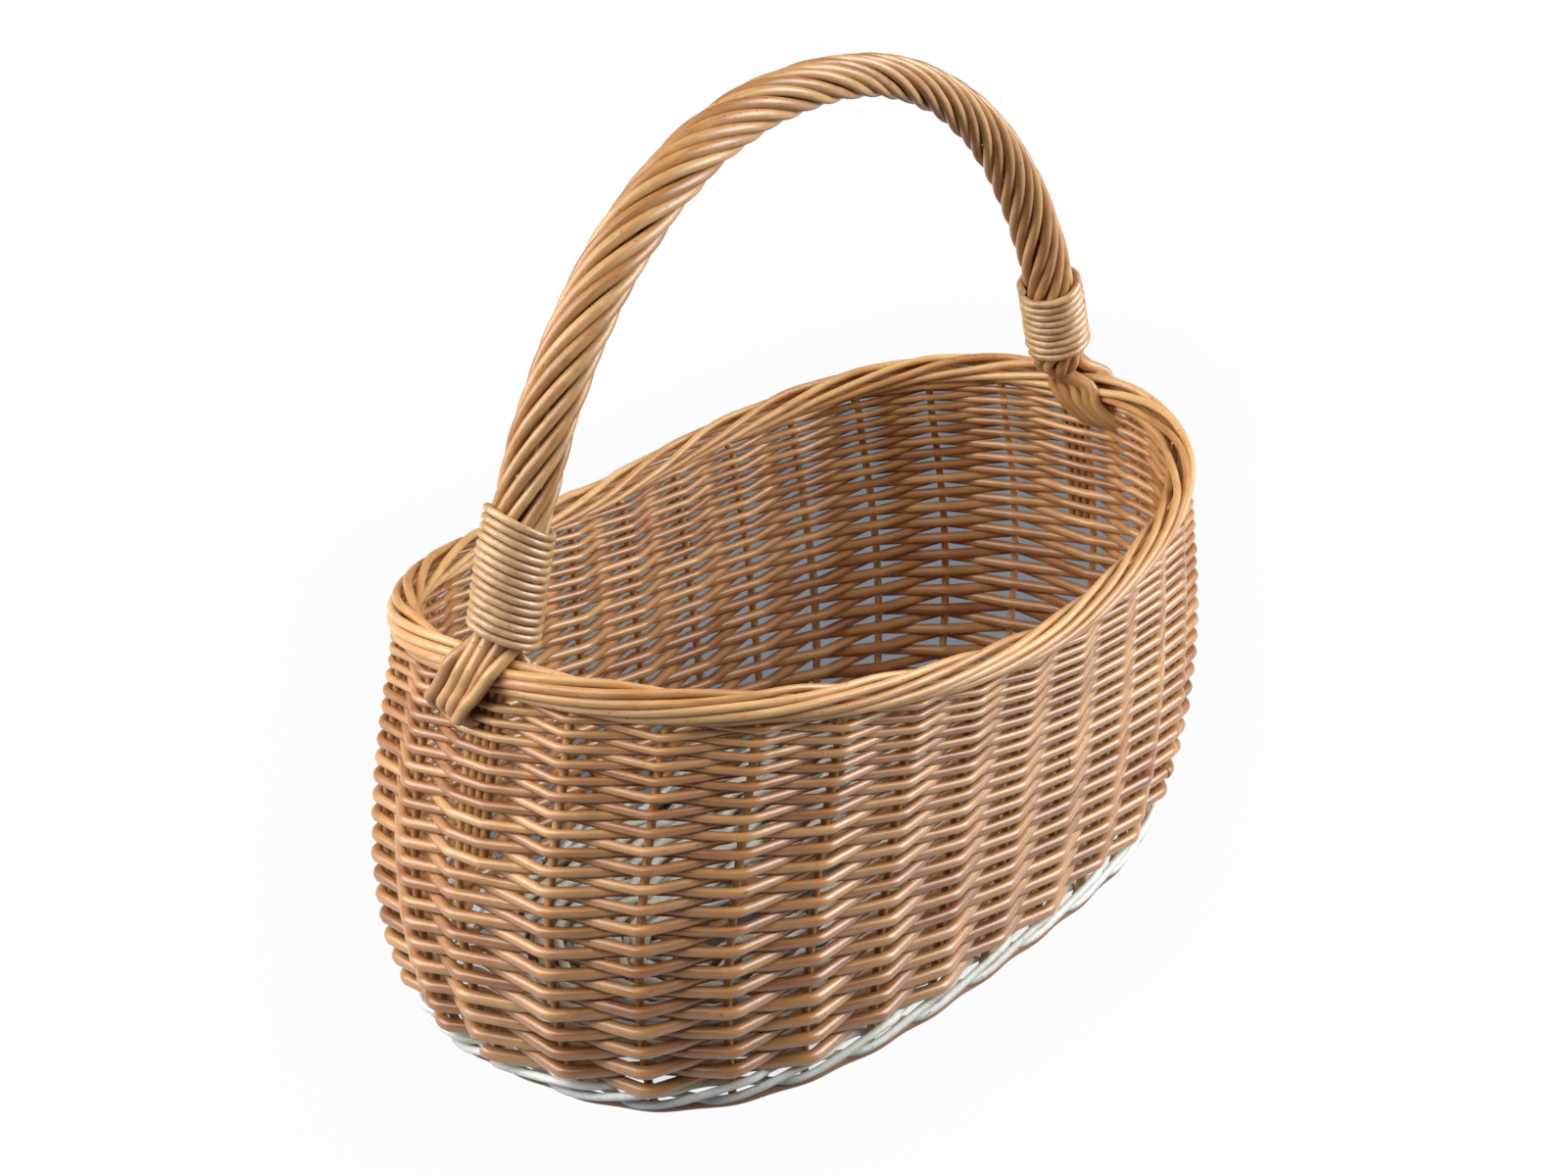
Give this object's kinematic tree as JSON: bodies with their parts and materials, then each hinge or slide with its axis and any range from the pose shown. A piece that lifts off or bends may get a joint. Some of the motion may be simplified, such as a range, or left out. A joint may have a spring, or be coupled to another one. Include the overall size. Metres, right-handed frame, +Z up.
{
  "type": "foraging basket",
  "caption": "Oval woven willow basket with upright stakes, over-and-under siding, a plaited border, a split-stick base and a fixed roped arch handle bound at both feet.",
  "frame": {"origin": "middle of the footprint, at the height of the surface that the basket stands on", "axes": "+X along the basket's length, in the plane of the handle; +Y across it; +Z up"},
  "size_m": [0.4886, 0.2756, 0.4067],
  "materials": {
    "stake_willow": "satin brown willow bark",
    "siding_willow": "satin buff willow",
    "handle_willow": "satin pale buff willow",
    "binding_willow": "satin pale buff willow",
    "white_willow": "matt peeled white willow",
    "base_willow": "satin brown willow bark"
  },
  "bodies": {
    "root": {"base_cross_stick_1": "base_willow", "base_cross_stick_2": "base_willow", "base_cross_stick_3": "base_willow", "base_cross_stick_4": "base_willow", "base_long_stick_1": "base_willow", "base_long_stick_2": "base_willow", "base_long_stick_3": "base_willow", "base_weaver_even": "white_willow", "base_weaver_odd": "white_willow", "foot_rod": "base_willow", "handle_bow_1": "handle_willow", "handle_bow_2": "handle_willow", "handle_bow_3": "handle_willow", "handle_strand_01": "handle_willow", "handle_strand_02": "handle_willow", "handle_strand_03": "handle_willow", "handle_strand_04": "handle_willow", "handle_strand_05": "handle_willow", "handle_strand_06": "handle_willow", "handle_strand_07": "handle_willow", "handle_strand_08": "handle_willow", "handle_strand_09": "handle_willow", "handle_strand_10": "handle_willow", "left_binding": "binding_willow", "right_binding": "binding_willow", "siding_rod_even": "siding_willow", "siding_rod_odd": "siding_willow", "stake_01": "stake_willow", "stake_02": "stake_willow", "stake_03": "stake_willow", "stake_04": "stake_willow", "stake_05": "stake_willow", "stake_06": "stake_willow", "stake_07": "stake_willow", "stake_08": "stake_willow", "stake_09": "stake_willow", "stake_10": "stake_willow", "stake_11": "stake_willow", "stake_12": "stake_willow", "stake_13": "stake_willow", "stake_14": "stake_willow", "stake_15": "stake_willow", "stake_16": "stake_willow", "stake_17": "stake_willow", "stake_18": "stake_willow", "stake_19": "stake_willow", "stake_20": "stake_willow", "stake_21": "stake_willow", "stake_22": "stake_willow", "stake_23": "stake_willow", "stake_24": "stake_willow", "stake_25": "stake_willow", "stake_26": "stake_willow", "stake_27": "stake_willow", "stake_28": "stake_willow", "stake_29": "stake_willow", "stake_30": "stake_willow", "wale_rod_1": "white_willow", "wale_rod_2": "white_willow", "wale_rod_3": "white_willow"}
  },
  "joints": []
}
